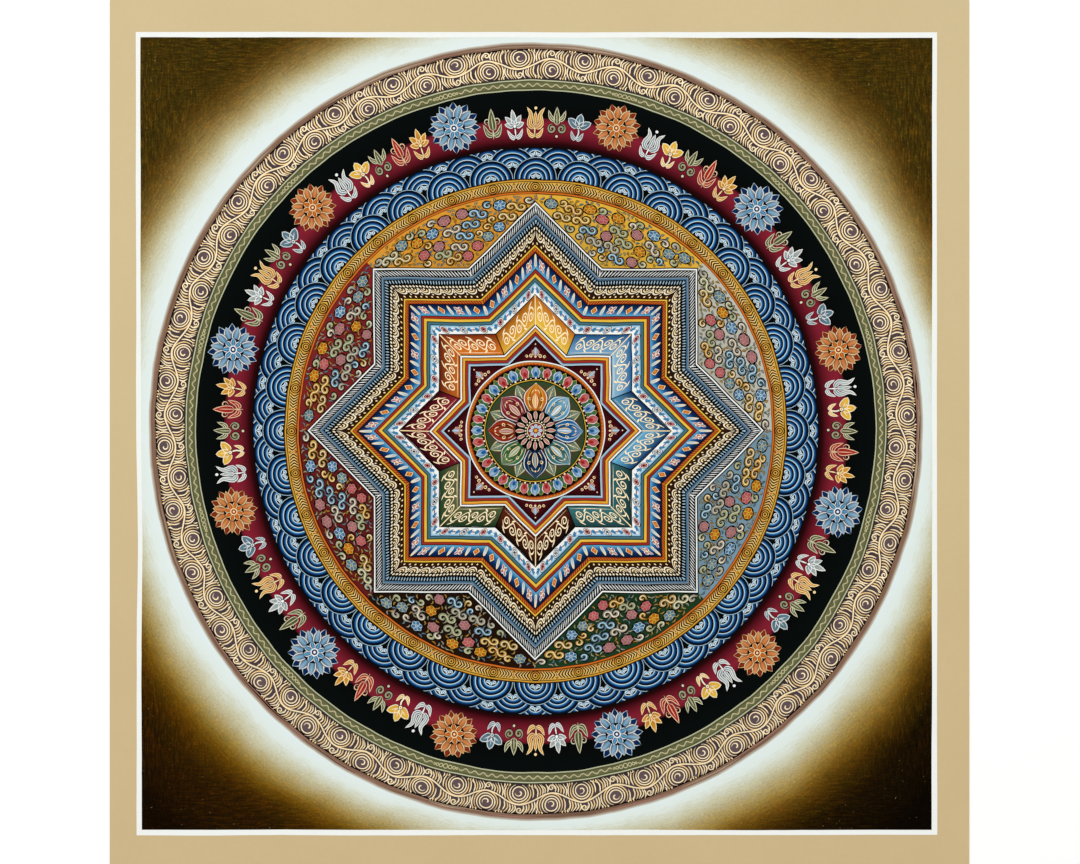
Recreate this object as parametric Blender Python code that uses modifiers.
"""Unmounted thangka: one flat sheet of primed and painted cotton canvas, lying face up.

The sheet has never been sewn into its silk surround, so it is a single piece of cloth with
four cut edges and nothing fitted to it. It lies in the XY plane with its painted face up:
+X is the right of the picture, +Y is the top of the picture and +Z points out of the paint.
The origin is in the middle of the sheet, on the surface that it lies on. Metres.

Run it with: blender --background --python part.py
"""

import math

import bmesh
import bpy

# The painted square and the bare margins round it set the cut size of the cloth.
PICTURE_WIDTH = 0.6525
PICTURE_HEIGHT = 0.6530
LEFT_MARGIN = 0.0215
RIGHT_MARGIN = 0.0260
TOP_MARGIN = 0.0345
BOTTOM_MARGIN = 0.0325

CLOTH_WIDTH = LEFT_MARGIN + PICTURE_WIDTH + RIGHT_MARGIN
CLOTH_HEIGHT = BOTTOM_MARGIN + PICTURE_HEIGHT + TOP_MARGIN
CLOTH_THICKNESS = 0.0015  # cotton, chalk ground on both faces, and paint

# Scissors leave each corner very slightly blunt, and the sized edge is a little soft.
CORNER_RADIUS = 0.0020
CORNER_STEPS = 5
EDGE_SOFTNESS = 0.0003
EDGE_STEPS = 2

# Tan of the bare, primed margin: colour, roughness and metallic value.
CANVAS_COLOUR = (0.651, 0.507, 0.283, 1.0)
CANVAS_ROUGHNESS = 0.85
CANVAS_METALLIC = 0.0

COLLECTION_NAME = "thangka_painting"
SHEET_NAME = "painted_canvas"


def clear_scene():
    for old in list(bpy.data.objects):
        bpy.data.objects.remove(old)


def new_collection(name):
    collection = bpy.data.collections.new(name)
    bpy.context.scene.collection.children.link(collection)
    return collection


def canvas_material():
    material = bpy.data.materials.new("primed_canvas")
    material.use_nodes = True
    shader = material.node_tree.nodes["Principled BSDF"]
    shader.inputs["Base Color"].default_value = CANVAS_COLOUR
    shader.inputs["Roughness"].default_value = CANVAS_ROUGHNESS
    shader.inputs["Metallic"].default_value = CANVAS_METALLIC
    material.diffuse_color = CANVAS_COLOUR
    return material


def cut_outline():
    """Points round the cut edge, anticlockwise, with each corner a quarter circle."""
    inner_x = CLOTH_WIDTH / 2 - CORNER_RADIUS
    inner_y = CLOTH_HEIGHT / 2 - CORNER_RADIUS
    quarter = math.pi / 2
    points = []
    for turn, (side_x, side_y) in enumerate(((1, 1), (-1, 1), (-1, -1), (1, -1))):
        for step in range(CORNER_STEPS + 1):
            angle = quarter * (turn + step / CORNER_STEPS)
            x = side_x * inner_x + CORNER_RADIUS * math.cos(angle)
            y = side_y * inner_y + CORNER_RADIUS * math.sin(angle)
            points.append((x, y))
    return points


def sheet_mesh():
    """The underside of the sheet, one flat face that Solidify thickens upwards."""
    mesh = bpy.data.meshes.new(SHEET_NAME)
    form = bmesh.new()
    corners = [form.verts.new((x, y, 0.0)) for x, y in cut_outline()]
    form.faces.new(corners)
    form.to_mesh(mesh)
    form.free()
    return mesh


def add_canvas_sheet(collection):
    sheet = bpy.data.objects.new(SHEET_NAME, sheet_mesh())
    sheet.data.materials.append(canvas_material())
    collection.objects.link(sheet)

    thickness = sheet.modifiers.new("cloth_thickness", "SOLIDIFY")
    thickness.thickness = CLOTH_THICKNESS
    thickness.offset = 1.0

    softness = sheet.modifiers.new("soft_cut_edge", "BEVEL")
    softness.width = EDGE_SOFTNESS
    softness.segments = EDGE_STEPS
    softness.limit_method = "ANGLE"
    softness.angle_limit = math.radians(60)
    return sheet


def main():
    clear_scene()
    add_canvas_sheet(new_collection(COLLECTION_NAME))


main()
